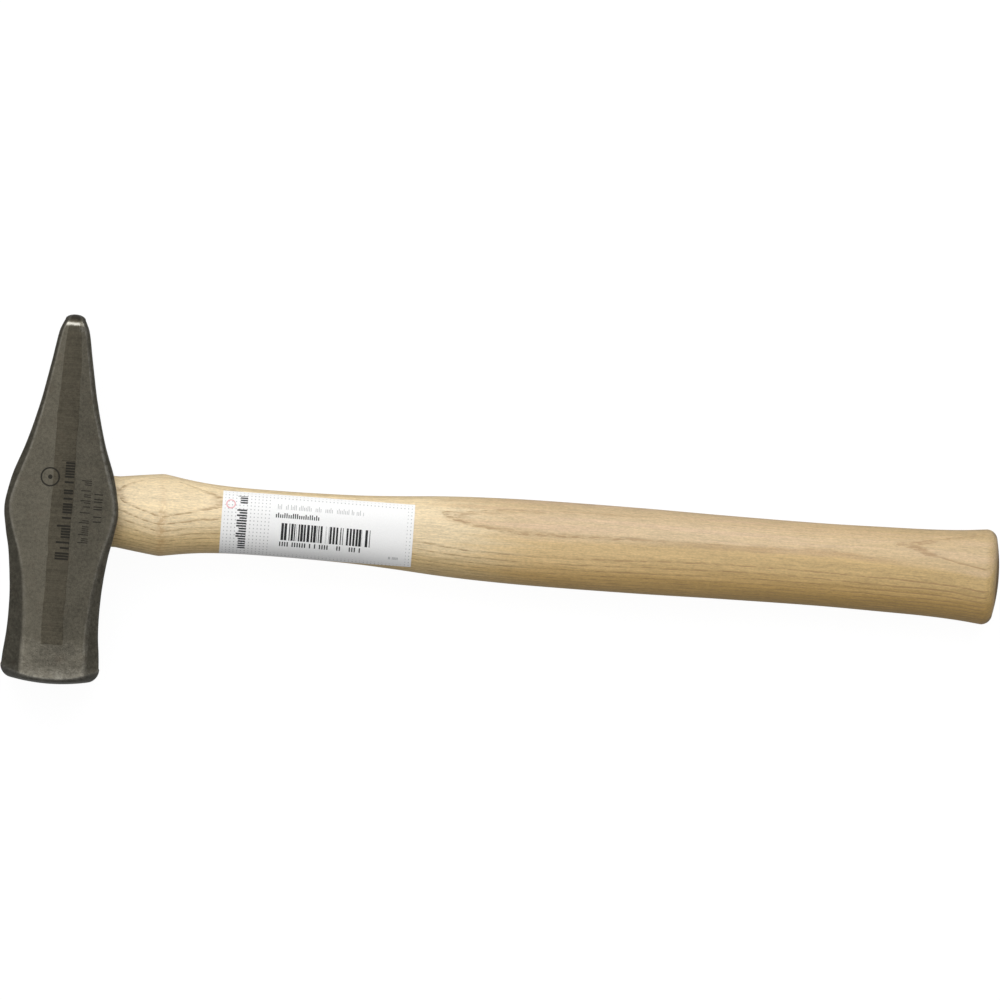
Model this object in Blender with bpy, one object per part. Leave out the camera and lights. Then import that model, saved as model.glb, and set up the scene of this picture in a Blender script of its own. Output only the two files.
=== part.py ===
"""Cross peen smith's hammer: a forged head on a hickory handle.

The tongue of the handle sits in the oval eye of the head. A wooden wedge spreads the tongue along
its kerf, a steel ring wedge locks both, and a paper label is stuck on the neck of the handle.

Metres, +Z up. The hammer lies on one cheek. X runs along the handle from head to butt, Y along the
head from the striking face (-Y) to the peen (+Y). The origin is on the lower cheek, under the
centre of the eye, and every piece is modelled about the centre of the eye.
"""

import math

import bmesh
import bpy

MM = 0.001
GAP = 0.3 * MM  # left between neighbouring pieces

# Head
HEAD_DEPTH = 38.0 * MM  # across the cheeks, along Z
FACE_END = -70.9 * MM  # lowest point of the striking face, from the eye centre along Y
FACE_RIM = -67.2 * MM  # where the sides of the head end
PEEN_END = 77.6 * MM  # top of the peen
PEEN_ROUND_FROM = 75.5 * MM  # where the half-round edge of the peen begins
PEEN_CORNER = 5.0 * MM  # rounding of the peen where it meets a cheek, along Y
PEEN_CORNER_DEPTH = 7.5 * MM  # and along Z
HEAD_OUTLINE = (  # (along Y, half-width along X) in mm, between the face and the peen's rounding
    (-67.2, 19.9),
    (-60.0, 19.5),
    (-50.5, 18.5),
    (-41.0, 18.25),
    (-31.0, 18.65),
    (-18.3, 20.1),
    (-10.0, 21.8),
    (-1.0, 23.05),
    (7.5, 21.7),
    (13.8, 20.1),
    (26.6, 15.6),
    (42.6, 11.4),
    (58.0, 8.4),
    (68.3, 6.6),
    (71.5, 5.85),
    (73.1, 5.2),
    (74.7, 4.45),
    (75.5, 4.05),
)
HEAD_CHAMFERS = (  # (along Y, leg of the chamfer between cheek and flank) in mm
    (-67.2, 6.5),
    (-60.0, 6.0),
    (-41.0, 4.3),
    (-24.0, 3.4),
    (0.0, 1.9),
    (15.0, 2.6),
    (31.5, 1.8),
    (50.0, 1.4),
    (77.6, 1.3),
)
CHAMFER_FILLET = 1.6 * MM
BAND_HALF = 4.4 * MM  # half-width of the strip ground flat down the middle of each cheek
BAND_END = -54.0 * MM  # where that strip ends next to the face; it runs on to the peen's edge
CHEEK_DRAFT = math.radians(3)  # slope of the forged cheek away from the ground strip
POLL_STEP = 0.2 * MM  # the cheeks are ground this much lower next to the face
CROWN_RADIUS_X = 75 * MM
CROWN_RADIUS_Z = 190 * MM
FACE_FLAT = 0.28  # share of the face that is flat in its middle
RIM_RADIUS = 2.2 * MM

# Eye, an oval that is widest at both mouths
EYE_HALF_HEIGHT = 13.4 * MM
EYE_HALF_DEPTH = 9.6 * MM
EYE_FLARE = 1.1 * MM  # growth of both half-sizes from the middle to a mouth
EYE_MOUTH = 22 * MM  # from the eye centre to a mouth, along X
EYE_POWER = 2.3  # of the oval: 2 is an ellipse, and more is squarer

# Handle
TONGUE_END = -19.4 * MM
HANDLE_OUTLINE = (  # (along X, half-height along Y, half-depth along Z) in mm
    (22.6, 14.25, 10.35),
    (31.0, 15.4, 11.7),
    (38.5, 16.35, 12.8),
    (42.5, 16.25, 12.8),
    (50.0, 14.95, 11.9),
    (58.0, 14.0, 11.2),
    (70.0, 13.35, 10.7),
    (88.0, 13.2, 10.6),
    (104.0, 13.4, 10.8),
    (120.0, 13.85, 11.1),
    (136.0, 14.8, 11.7),
    (152.0, 15.95, 12.4),
    (168.0, 16.7, 12.8),
    (190.0, 17.2, 13.1),
    (232.0, 17.2, 13.1),
    (265.0, 16.8, 12.9),
    (305.0, 16.6, 12.8),
    (330.0, 17.0, 13.1),
    (348.0, 17.4, 13.4),
    (361.0, 18.1, 14.0),
    (371.0, 19.1, 14.8),
)
HANDLE_POWER = 2.2
BUTT_END = 377.0 * MM
BUTT_EDGE = 4.4 * MM  # rounding of the butt's rim
BUTT_CROWN = 1.6 * MM  # how far the butt's end bulges inside that rim
BUTT_FLAT = 0.3  # share of the end that is flat in its middle

# Wedges
WEDGE_END = 10 * MM  # how deep the wooden wedge reaches
WEDGE_THICKNESS = (4.4 * MM, 1.4 * MM)  # at the tongue's end and at its tip
RING_INNER = 5.6 * MM
RING_OUTER = (7.2 * MM, 6.0 * MM)  # at the tongue's end and at its cutting edge
RING_SPAN = (-19.1 * MM, -4.0 * MM)

# Label
LABEL_SPAN = (64.2 * MM, 141.3 * MM)
LABEL_TOP = 11.6 * MM  # height of its upper edge above the handle's axis
LABEL_BOTTOM = 13.2 * MM  # depth of its lower edge below the axis
LABEL_WRAP = 0.985  # most of the handle's half-height that the lower edge may reach
LABEL_THICKNESS = 0.2 * MM

# Fineness of the meshes
HEAD_STATIONS = 31
HANDLE_SIDES = 36
HANDLE_STATIONS = 46
RING_SIDES = 32
LABEL_CELLS = (16, 10)


def curve_through(rows, column=1):
    """A smooth function, in metres, of the first column of rows in mm that passes through each."""
    at = [row[0] * MM for row in rows]
    value = [row[column] * MM for row in rows]
    last = len(rows) - 1
    slope = [
        (value[min(i + 1, last)] - value[max(i - 1, 0)]) / (at[min(i + 1, last)] - at[max(i - 1, 0)])
        for i in range(len(rows))
    ]

    def smooth(x):
        x = min(max(x, at[0]), at[-1])
        i = next(k for k in range(last) if x <= at[k + 1])
        span = at[i + 1] - at[i]
        t = (x - at[i]) / span
        start = (1 + 2 * t) * (1 - t) ** 2 * value[i] + t * (1 - t) ** 2 * span * slope[i]
        end = t * t * (3 - 2 * t) * value[i + 1] + t * t * (t - 1) * span * slope[i + 1]
        return start + end

    return smooth


def spread(start, end, count):
    """Evenly spaced values from start to end, both included."""
    return [start + (end - start) * i / (count - 1) for i in range(count)]


def material(name, colour, roughness, metallic=0.0):
    made = bpy.data.materials.new(name)
    made.use_nodes = True
    shader = made.node_tree.nodes["Principled BSDF"]
    shader.inputs["Base Color"].default_value = (*colour, 1)
    shader.inputs["Roughness"].default_value = roughness
    shader.inputs["Metallic"].default_value = metallic
    return made


def make_object(name, mesh, surface=None, parent=None):
    """An object from a bmesh, or a hidden cutter if it has no surface."""
    bmesh.ops.recalc_face_normals(mesh, faces=mesh.faces)
    data = bpy.data.meshes.new(name)
    mesh.to_mesh(data)
    mesh.free()
    made = bpy.data.objects.new(name, data)
    bpy.context.scene.collection.objects.link(made)
    made.parent = parent
    if surface is None:
        made.hide_render = True
        made.display_type = "WIRE"
        return made
    data.materials.append(surface)
    data.shade_smooth()
    data.set_sharp_from_angle(angle=math.radians(25))
    return made


def skin(mesh, loops, closed=False):
    """Faces between neighbouring loops, and between the last and the first if closed."""
    following = loops[1:] + loops[:1] if closed else loops[1:]
    for near, far in zip(loops, following):
        for i in range(len(near)):
            j = (i + 1) % len(near)
            mesh.faces.new((near[i], near[j], far[j], far[i]))


def loft(rings):
    """A closed body through rings of points, with a flat cap on the first and on the last."""
    mesh = bmesh.new()
    loops = [[mesh.verts.new(point) for point in ring] for ring in rings]
    skin(mesh, loops)
    mesh.faces.new(loops[0])
    mesh.faces.new(loops[-1])
    return mesh


def boolean(target, cutter, operation="DIFFERENCE"):
    modifier = target.modifiers.new(f"{operation.lower()} {cutter.name}", "BOOLEAN")
    modifier.object = cutter
    modifier.operation = operation


def oval(x, half_height, half_depth, power, sides=HANDLE_SIDES):
    """Points of a superellipse in the plane at x."""
    points = []
    for i in range(sides):
        angle = 2 * math.pi * i / sides
        y = math.copysign(abs(math.cos(angle)) ** (2 / power), math.cos(angle))
        z = math.copysign(abs(math.sin(angle)) ** (2 / power), math.sin(angle))
        points.append((x, half_height * y, half_depth * z))
    return points


def filleted(corner, before, after, radius):
    """Two points that cut a corner off as far as a fillet of this radius would."""
    points = []
    for other in (before, after):
        away = [other[i] - corner[i] for i in range(2)]
        length = math.hypot(*away)
        share = min(radius * math.tan(math.pi / 8) / length, 0.4)
        points.append((corner[0] + away[0] * share, corner[1] + away[1] * share))
    return points


def head_half_width(y):
    """Half-width of the head along X at y, with the half-round edge of the peen."""
    if y <= PEEN_ROUND_FROM:
        return curve_through(HEAD_OUTLINE)(y)
    rise = (y - PEEN_ROUND_FROM) / (PEEN_END - PEEN_ROUND_FROM)
    return HEAD_OUTLINE[-1][1] * MM * math.sqrt(max(1 - rise**2, 0.01))


def head_section(y):
    """Points around the head at y: an octagon with its cheeks sloping away from the ground strip."""
    width = head_half_width(y)
    depth = HEAD_DEPTH / 2
    draft = math.tan(CHEEK_DRAFT)
    if y > PEEN_END - PEEN_CORNER:
        into_corner = min((y - PEEN_END + PEEN_CORNER) / PEEN_CORNER, 1)
        depth -= PEEN_CORNER_DEPTH * (1 - math.sqrt(max(1 - into_corner**2, 0)))
    if y < BAND_END:
        depth -= POLL_STEP
        draft = 0
    chamfer = min(curve_through(HEAD_CHAMFERS)(y), 0.45 * width)
    band = min(BAND_HALF, 0.4 * width)
    cheek_edge = (width - chamfer, depth - draft * (width - chamfer - band))
    flank_edge = (width, cheek_edge[1] - chamfer)
    band_edge = (band, depth)
    quarter = [band_edge]
    quarter += filleted(cheek_edge, band_edge, flank_edge, CHAMFER_FILLET)
    quarter += filleted(flank_edge, cheek_edge, (width, 0), CHAMFER_FILLET)
    half = quarter + [(x, -z) for x, z in reversed(quarter)]
    outline = half + [(-x, -z) for x, z in half]
    return [(x, y, z) for x, z in outline]


def crown(x, z):
    """How far the striking face falls back from its middle at x, z."""
    return x * x / (2 * CROWN_RADIUS_X) + z * z / (2 * CROWN_RADIUS_Z)


def face_ring(share, setback):
    """The head's outline next to the face, shrunk to a share of its size, on the crowned face."""
    rim = head_section(FACE_RIM)
    inner = [(x * share, z * share) for x, _, z in rim]
    return [(x, FACE_END + crown(x, z) + setback, z) for x, z in inner]


def head_rings():
    """Rings from the middle of the striking face, up the head, to the edge of the peen."""
    flat = [(x, FACE_END, z) for x, _, z in face_ring(FACE_FLAT, 0)]
    rings = [flat, face_ring(0.55, 0), face_ring(0.8, 0)]
    rim_width = HEAD_OUTLINE[0][1] * MM
    for angle in (0, 30, 60, 90):
        turned = math.radians(angle)
        share = 1 - RIM_RADIUS / rim_width * (1 - math.sin(turned))
        rings.append(face_ring(share, RIM_RADIUS * (1 - math.cos(turned))))
    step = 0.4 * MM
    sides = spread(FACE_RIM + 3.5 * MM, BAND_END - step, 4)
    corner = PEEN_END - PEEN_CORNER
    sides += spread(BAND_END, corner, HEAD_STATIONS)
    sides += [corner + PEEN_CORNER * math.sin(math.radians(a)) for a in (10, 20, 32)]
    tip = PEEN_END - PEEN_ROUND_FROM
    sides += [PEEN_ROUND_FROM + tip * math.sin(math.radians(a)) for a in (25, 40, 52, 63, 73, 82, 90)]
    return rings + [head_section(y) for y in sides]


def eye_size(x):
    """(half-height, half-depth) of the eye at x."""
    flare = EYE_FLARE * (x / EYE_MOUTH) ** 2
    return EYE_HALF_HEIGHT + flare, EYE_HALF_DEPTH + flare


def eye_rings(start, end, shrink, count=12):
    rings = []
    for x in spread(start, end, count):
        height, depth = eye_size(x)
        rings.append(oval(x, height - shrink, depth - shrink, EYE_POWER))
    return rings


def handle_size(x):
    """(half-height, half-depth) of the handle at x, outside the eye."""
    return curve_through(HANDLE_OUTLINE, 1)(x), curve_through(HANDLE_OUTLINE, 2)(x)


def butt_rings():
    """Rings from where the rim begins to round, over the edge, to the flat middle of the end."""
    rim = BUTT_END - BUTT_CROWN
    height, depth = handle_size(HANDLE_OUTLINE[-1][0] * MM)
    rings = []
    for angle in (0, 20, 40, 60, 80):
        turned = math.radians(angle)
        inset = BUTT_EDGE * (1 - math.cos(turned))
        x = rim - BUTT_EDGE * (1 - math.sin(turned))
        rings.append(oval(x, height - inset, depth - inset, HANDLE_POWER))
    height, depth = height - BUTT_EDGE, depth - BUTT_EDGE
    for share in (0.8, 0.55, BUTT_FLAT):
        x = BUTT_END - BUTT_CROWN * (share**2 - BUTT_FLAT**2)
        rings.append(oval(x, height * share, depth * share, HANDLE_POWER))
    return rings


def handle_rings():
    start = HANDLE_OUTLINE[0][0] * MM
    end = BUTT_END - BUTT_CROWN - BUTT_EDGE - 2 * MM
    rings = eye_rings(TONGUE_END, 20 * MM, GAP)
    stations = spread(start, 60 * MM, 14) + spread(66 * MM, end, HANDLE_STATIONS - 14)
    for x in stations:
        rings.append(oval(x, *handle_size(x), HANDLE_POWER))
    return rings + butt_rings()


def slab(start, end, thickness_start, thickness_end, half_height):
    """A flat wedge along X, as wide as its half-height asks along Y."""
    rings = []
    for x, thickness in ((start, thickness_start), (end, thickness_end)):
        top, side = thickness / 2, half_height
        rings.append([(x, -side, -top), (x, side, -top), (x, side, top), (x, -side, top)])
    return loft(rings)


def kerf_slab(clearance, overshoot):
    """The wooden wedge's flat faces, grown by a clearance and carried on past the tongue's end."""
    thick, thin = WEDGE_THICKNESS
    growth = (thick - thin) / (WEDGE_END - TONGUE_END) * overshoot
    return slab(
        TONGUE_END - overshoot,
        WEDGE_END + clearance,
        thick + growth + 2 * clearance,
        thin + 2 * clearance,
        EYE_HALF_HEIGHT + 5 * MM,
    )


def turned_ring(clearance=0.0, overshoot=0.0):
    """The ring wedge, turned about the eye's axis, or the pocket that it has cut for itself."""
    start, end = RING_SPAN[0] - overshoot, RING_SPAN[1] + clearance
    growth = (RING_OUTER[0] - RING_OUTER[1]) / (RING_SPAN[1] - RING_SPAN[0]) * overshoot
    profile = (
        (start, RING_INNER - clearance),
        (start, RING_OUTER[0] + growth + clearance),
        (end, RING_OUTER[1] + clearance),
        (end, RING_INNER - clearance),
    )
    mesh = bmesh.new()
    loops = []
    for i in range(RING_SIDES):
        angle = 2 * math.pi * i / RING_SIDES
        loops.append(
            [mesh.verts.new((x, r * math.cos(angle), r * math.sin(angle))) for x, r in profile]
        )
    skin(mesh, loops, closed=True)
    return mesh


def on_handle(x, y, lift):
    """A point of the handle's upper side at x, y, lifted off it along its normal."""
    height, depth = handle_size(x)
    z = depth * (1 - (abs(y) / height) ** HANDLE_POWER) ** (1 / HANDLE_POWER)
    normal_y = math.copysign((abs(y) / height) ** (HANDLE_POWER - 1) / height, y)
    normal_z = (z / depth) ** (HANDLE_POWER - 1) / depth
    length = math.hypot(normal_y, normal_z)
    return (x, y + lift * normal_y / length, z + lift * normal_z / length)


def label_mesh():
    """A thin closed sheet on the upper side of the neck, one loop of points for each step along X."""
    mesh = bmesh.new()
    loops = []
    along, across = LABEL_CELLS
    for x in spread(*LABEL_SPAN, along):
        bottom = min(LABEL_BOTTOM, LABEL_WRAP * handle_size(x)[0])
        top_turn = math.asin(LABEL_TOP / handle_size(x)[0])
        bottom_turn = -math.asin(bottom / handle_size(x)[0])
        heights = [handle_size(x)[0] * math.sin(turn) for turn in spread(top_turn, bottom_turn, across)]
        inner = [on_handle(x, y, GAP) for y in heights]
        outer = [on_handle(x, y, GAP + LABEL_THICKNESS) for y in reversed(heights)]
        loops.append([mesh.verts.new(point) for point in inner + outer])
    skin(mesh, loops)
    for loop in (loops[0], loops[-1]):
        for i in range(across - 1):
            mesh.faces.new((loop[i], loop[i + 1], loop[-2 - i], loop[-1 - i]))
    return mesh


def clear_scene():
    for thing in list(bpy.data.objects):
        bpy.data.objects.remove(thing)


def build():
    clear_scene()
    eye_centre = bpy.data.objects.new("eye_centre", None)
    bpy.context.scene.collection.objects.link(eye_centre)
    eye_centre.location = (0, 0, HEAD_DEPTH / 2)

    steel = material("forged_steel", (0.105, 0.098, 0.078), 0.45, 0.8)
    bright_steel = material("wedge_steel", (0.42, 0.41, 0.39), 0.35, 1.0)
    hickory = material("hickory", (0.62, 0.46, 0.26), 0.5)
    wedge_wood = material("wedge_beech", (0.5, 0.32, 0.17), 0.65)
    paper = material("label_paper", (0.86, 0.87, 0.89), 0.6)

    eye_cutter = make_object("eye_cutter", loft(eye_rings(-30 * MM, 30 * MM, 0)), parent=eye_centre)
    kerf = make_object("kerf_cutter", kerf_slab(GAP, 5 * MM), parent=eye_centre)
    pocket = make_object("ring_pocket_cutter", turned_ring(GAP, 5 * MM), parent=eye_centre)
    tongue_core = make_object(
        "tongue_core", loft(eye_rings(TONGUE_END, 20 * MM, GAP)), parent=eye_centre
    )

    head = make_object("head", loft(head_rings()), steel, eye_centre)
    boolean(head, eye_cutter)

    handle = make_object("handle", loft(handle_rings()), hickory, eye_centre)
    boolean(handle, kerf)
    boolean(handle, pocket)

    wedge = make_object("wooden_wedge", kerf_slab(0, 0), wedge_wood, eye_centre)
    boolean(wedge, tongue_core, "INTERSECT")
    boolean(wedge, pocket)

    make_object("ring_wedge", turned_ring(), bright_steel, eye_centre)
    make_object("label", label_mesh(), paper, eye_centre)


build()
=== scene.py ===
"""Looks of the cross peen hammer: finely modelled pieces, materials, floor, light and camera.

Everything is made in millimetres about the centre of the eye, and turned into metres in the frame
of the CAD model at the end: X along the handle from head to butt, Y from the striking face to the
peen, Z up from the cheek that the hammer lies on.
"""

import math

import bpy
import numpy as np
from mathutils import Matrix, Vector, noise


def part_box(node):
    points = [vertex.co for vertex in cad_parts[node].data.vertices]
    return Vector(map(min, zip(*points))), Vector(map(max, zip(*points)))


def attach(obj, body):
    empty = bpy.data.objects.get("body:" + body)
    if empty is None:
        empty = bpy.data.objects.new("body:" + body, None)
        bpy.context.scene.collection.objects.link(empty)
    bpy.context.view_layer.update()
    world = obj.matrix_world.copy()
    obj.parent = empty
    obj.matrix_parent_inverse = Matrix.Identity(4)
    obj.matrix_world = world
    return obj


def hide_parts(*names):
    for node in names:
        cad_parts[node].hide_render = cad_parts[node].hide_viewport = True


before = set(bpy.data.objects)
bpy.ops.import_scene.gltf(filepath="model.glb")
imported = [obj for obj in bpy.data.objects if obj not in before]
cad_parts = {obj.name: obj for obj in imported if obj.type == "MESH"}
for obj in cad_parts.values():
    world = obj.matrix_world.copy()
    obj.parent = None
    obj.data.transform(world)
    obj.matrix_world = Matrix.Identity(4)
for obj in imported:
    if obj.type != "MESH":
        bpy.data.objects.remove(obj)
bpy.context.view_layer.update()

MM = 0.001
HEAD_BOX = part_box("head")
EYE_HEIGHT = (HEAD_BOX[0][2] + HEAD_BOX[1][2]) / 2 / MM

# Head, all in mm
HEAD_DEPTH = 38.0
FACE_END = -70.9
FACE_RIM = -67.2
PEEN_END = 77.6
PEEN_ROUND_FROM = 75.5
PEEN_CORNER = 5.0
PEEN_CORNER_DEPTH = 7.5
HEAD_OUTLINE = np.array([  # (along Y, half-width along X)
    (-67.2, 19.9),
    (-60.0, 19.5),
    (-50.5, 18.5),
    (-41.0, 18.25),
    (-31.0, 18.65),
    (-18.3, 20.1),
    (-10.0, 21.8),
    (-1.0, 22.95),
    (7.5, 21.7),
    (13.8, 20.1),
    (26.6, 15.6),
    (42.6, 11.4),
    (58.0, 8.4),
    (68.3, 6.6),
    (71.5, 5.85),
    (73.1, 5.2),
    (74.7, 4.45),
    (75.5, 4.05),
])
HEAD_CHAMFERS = np.array([  # (along Y, leg of the chamfer)
    (-67.2, 6.5),
    (-60.0, 6.0),
    (-41.0, 4.3),
    (-24.0, 3.4),
    (0.0, 1.9),
    (15.0, 2.6),
    (31.5, 1.8),
    (50.0, 1.4),
    (77.6, 1.3),
])
MISMATCH = (1.4, -0.7)  # growth of the chamfers, because the forging's halves are out of line
FILLET = (2.6, 1.2)  # rounding of the chamfers' edges at the face, and from the bulge to the peen
BAND_HALF = 4.3  # half the width of the strip ground flat down each cheek
BAND_END = -54.0
POLL_STEP = 0.05  # the cheek next to the face is lower than the strip by this
DRAFT = math.tan(math.radians(3))
CROWN_RADIUS_X = 75.0
CROWN_RADIUS_Z = 190.0
RIM_RADIUS = (1.3, 4.0)  # rounding of the face's rim at the cheeks and at the flanks
FACE_RINGS = 40  # rings of points on the face, inside its rim
RIM_RINGS = 10

# Eye
EYE_HALF_HEIGHT = 13.4
EYE_HALF_DEPTH = 9.6
EYE_FLARE = 1.1
EYE_MOUTH = 22.0
EYE_POWER = 2.3
EYE_BREAK = 0.5  # rounding of the eye's mouth
FIT = 0.04  # gap between pieces that are pressed together

# Handle
TONGUE_END = -19.4
HANDLE_OUTLINE = np.array([  # (along X, half-height along Y, half-depth along Z)
    (22.6, 14.25, 10.35),
    (31.0, 15.4, 11.7),
    (38.0, 16.28, 12.75),
    (40.3, 16.45, 12.88),
    (43.0, 16.08, 12.7),
    (50.0, 14.95, 11.9),
    (58.0, 14.0, 11.2),
    (70.0, 13.35, 10.7),
    (88.0, 13.2, 10.6),
    (104.0, 13.4, 10.8),
    (120.0, 13.85, 11.1),
    (136.0, 14.8, 11.7),
    (152.0, 15.95, 12.4),
    (168.0, 16.7, 12.8),
    (190.0, 17.2, 13.1),
    (232.0, 17.2, 13.1),
    (265.0, 16.8, 12.9),
    (305.0, 16.6, 12.8),
    (330.0, 17.0, 13.1),
    (348.0, 17.4, 13.4),
    (361.0, 18.1, 14.0),
    (371.0, 19.1, 14.8),
])
HANDLE_POWER = 2.2
BUTT_END = 377.0
BUTT_EDGE = 4.4
BUTT_CROWN = 1.6
RIDGE_AT = 40.4  # the crest of the collar's ridge, along X

# Growth rings of the handle, counted in mm from the eye's axis outwards
RINGS = (11.4, 13.3, 14.4)
RING_STARTS = (0, 100, 318, 400)  # where along X each of these is seen, one after the other
RING_SPACING = 1.5  # of those further in
RING_BOW = 600.0  # the rings bow outwards by the square of the distance sideways over this
FAR = 100.0  # added to a distance in mm where there is no ring

# Wedges
WEDGE_END = 10.0
WEDGE_THICKNESS = (4.4, 1.4)  # at the tongue's end and at the tip
RING_INNER = 5.6
RING_OUTER = (7.2, 6.0)  # radius at the driven end and at the tip
RING_SPAN = (-19.1, -4.0)

# Label
LABEL_SPAN = (64.2, 141.3)
LABEL_TOP = 11.6
LABEL_BOTTOM = -13.2
LABEL_WRAP = 0.985  # the most of the handle's half-height that the label reaches down
LABEL_THICKNESS = 0.14
LABEL_GAP = 0.02  # to the wood
DOT_PITCH = 1.5

# Floor, in mm, and its slope from the cheek's edge to the butt
FLOOR_SLOPE = (EYE_HEIGHT - HANDLE_OUTLINE[-1, 2]) / (HANDLE_OUTLINE[-1, 0] - BAND_HALF)
SLOPING_SPAN = (-400, 900)
FLOOR_MIDDLE = 175
FLOOR_REACH = 4000
FLOOR_GAP = 0.03

# Camera, in mm and degrees
VIEW_MIDDLE = (175.1, 16.2)
VIEW_WIDTH = 401.2
VIEW_TURN = 4.3
FOCAL_LENGTH = 1000.0
SENSOR_WIDTH = 36.0


# ---- Shapes


def curve_through(rows, x, column=1):
    """Values at x of a smooth curve through the rows' first column and the given one."""
    at, value = rows[:, 0], rows[:, column]
    slope = np.gradient(value, at)
    slope[1:-1] = (value[2:] - value[:-2]) / (at[2:] - at[:-2])
    x = np.clip(x, at[0], at[-1])
    i = np.clip(np.searchsorted(at, x) - 1, 0, len(at) - 2)
    span = at[i + 1] - at[i]
    t = (x - at[i]) / span
    start = (1 + 2 * t) * (1 - t) ** 2 * value[i] + t * (1 - t) ** 2 * span * slope[i]
    end = t * t * (3 - 2 * t) * value[i + 1] + t * t * (t - 1) * span * slope[i + 1]
    return start + end


def smoothstep(low, high, x):
    """0 up to low, 1 from high on, and a smooth rise between them."""
    t = np.clip((x - low) / (high - low), 0, 1)
    return t * t * (3 - 2 * t)


def noise_at(points, size, seed):
    """Smooth noise from -1 to 1 at each point, with features of about the given size."""
    shift = Vector((seed * 17.3, seed * 5.1, seed * 9.7))
    return np.array([noise.noise(Vector(p) / size + shift) for p in points])


def grid_faces(rows, columns, closed=True):
    """Faces of a grid of vertices, row by row, closed round each row or open."""
    across = columns if closed else columns - 1
    r, c = np.meshgrid(np.arange(rows - 1), np.arange(across), indexing="ij")
    r, c = r.ravel(), c.ravel()
    following = (c + 1) % columns
    corners = (r * columns + c, r * columns + following)
    beyond = ((r + 1) * columns + following, (r + 1) * columns + c)
    return np.stack(corners + beyond, axis=1).tolist()


def make_piece(name, points, faces, surface, slot, attributes=None):
    """A smooth shaded piece of the object, in metres in the CAD model's frame."""
    mesh = bpy.data.meshes.new(name)
    placed = np.array(points) + (0, 0, EYE_HEIGHT)
    mesh.from_pydata((placed * MM).tolist(), [], faces)
    for key, values in (attributes or {}).items():
        mesh.attributes.new(key, "FLOAT", "POINT").data.foreach_set("value", values)
    mesh.validate()
    piece = bpy.data.objects.new(name, mesh)
    bpy.context.scene.collection.objects.link(piece)
    if surface is None:
        return piece
    mesh.materials.append(surface)
    mesh.shade_smooth()
    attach(piece, "root")
    return piece


def carve(piece, cutter, operation="DIFFERENCE"):
    """Applies a boolean and removes the cutter."""
    modifier = piece.modifiers.new(cutter.name, "BOOLEAN")
    modifier.object = cutter
    modifier.operation = operation
    with bpy.context.temp_override(object=piece, active_object=piece):
        bpy.ops.object.modifier_apply(modifier=modifier.name)
    bpy.data.objects.remove(cutter)


def recess(piece, depths):
    """Moves each vertex in along its normal by its depth in mm."""
    mesh = piece.data
    count = len(mesh.vertices)
    places, normals = np.empty(count * 3), np.empty(count * 3)
    mesh.vertices.foreach_get("co", places)
    mesh.vertices.foreach_get("normal", normals)
    moved = places.reshape(-1, 3) - normals.reshape(-1, 3) * (depths * MM)[:, None]
    moved[:, 2] = np.clip(moved[:, 2], 0, 2 * EYE_HEIGHT * MM)
    mesh.vertices.foreach_set("co", moved.ravel())
    mesh.update()


def superellipse(half_height, half_depth, power, sides):
    """(sides, 2) points of an oval, as shares along Y and Z times its half-sizes."""
    angle = np.linspace(0, 2 * math.pi, sides, endpoint=False)
    y = np.sign(np.cos(angle)) * np.abs(np.cos(angle)) ** (2 / power)
    z = np.sign(np.sin(angle)) * np.abs(np.sin(angle)) ** (2 / power)
    return np.stack((np.multiply.outer(half_height, y), np.multiply.outer(half_depth, z)), axis=-1)


def ovals(stations, half_heights, half_depths, power, sides):
    """Rings of points in planes across X."""
    rings = superellipse(np.array(half_heights), np.array(half_depths), power, sides)
    along = np.repeat(np.array(stations)[:, None], sides, axis=1)
    return np.concatenate((along[..., None], rings), axis=-1)


def capped(rings):
    """Vertices and faces of a closed body through rings."""
    rows, columns = rings.shape[:2]
    faces = grid_faces(rows, columns)
    faces += [list(range(columns))[::-1], list(range((rows - 1) * columns, rows * columns))]
    return rings.reshape(-1, 3), faces


# ---- Head


def head_half_width(y):
    """Half-width of the head at places along Y, rounded off at the peen's end."""
    rise = np.clip((y - PEEN_ROUND_FROM) / (PEEN_END - PEEN_ROUND_FROM), 0, 0.99995)
    return curve_through(HEAD_OUTLINE, y) * np.sqrt(1 - rise**2)


def straight(start, end, count):
    """(stations, count, 2) points from start towards end, without the end itself."""
    t = np.linspace(0, 1, count, endpoint=False)[None, :, None]
    return start[:, None, :] * (1 - t) + end[:, None, :] * t


def rounded(corner, before, after, radius, count):
    """The two ends of a fillet of this radius at the corner, and the points between them."""

    def towards(other):
        away = other - corner
        length = np.linalg.norm(away, axis=1, keepdims=True)
        return corner + away * np.minimum(radius * math.tan(math.pi / 8) / length, 0.45)

    first, last = towards(before), towards(after)
    t = np.linspace(0, 1, count, endpoint=False)[None, :, None]
    arc = (
        first[:, None, :] * (1 - t) ** 2
        + 2 * corner[:, None, :] * t * (1 - t)
        + last[:, None, :] * t * t
    )
    return first, last, arc


def chamfer_leg(y, growing):
    """Leg of a chamfer, on the side of the forging's half where it grows or where it shrinks."""
    if growing:
        return curve_through(HEAD_CHAMFERS, y) + MISMATCH[0] * smoothstep(2, -32, y)
    return curve_through(HEAD_CHAMFERS, y) + MISMATCH[1] * smoothstep(42, 28, y)


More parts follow.
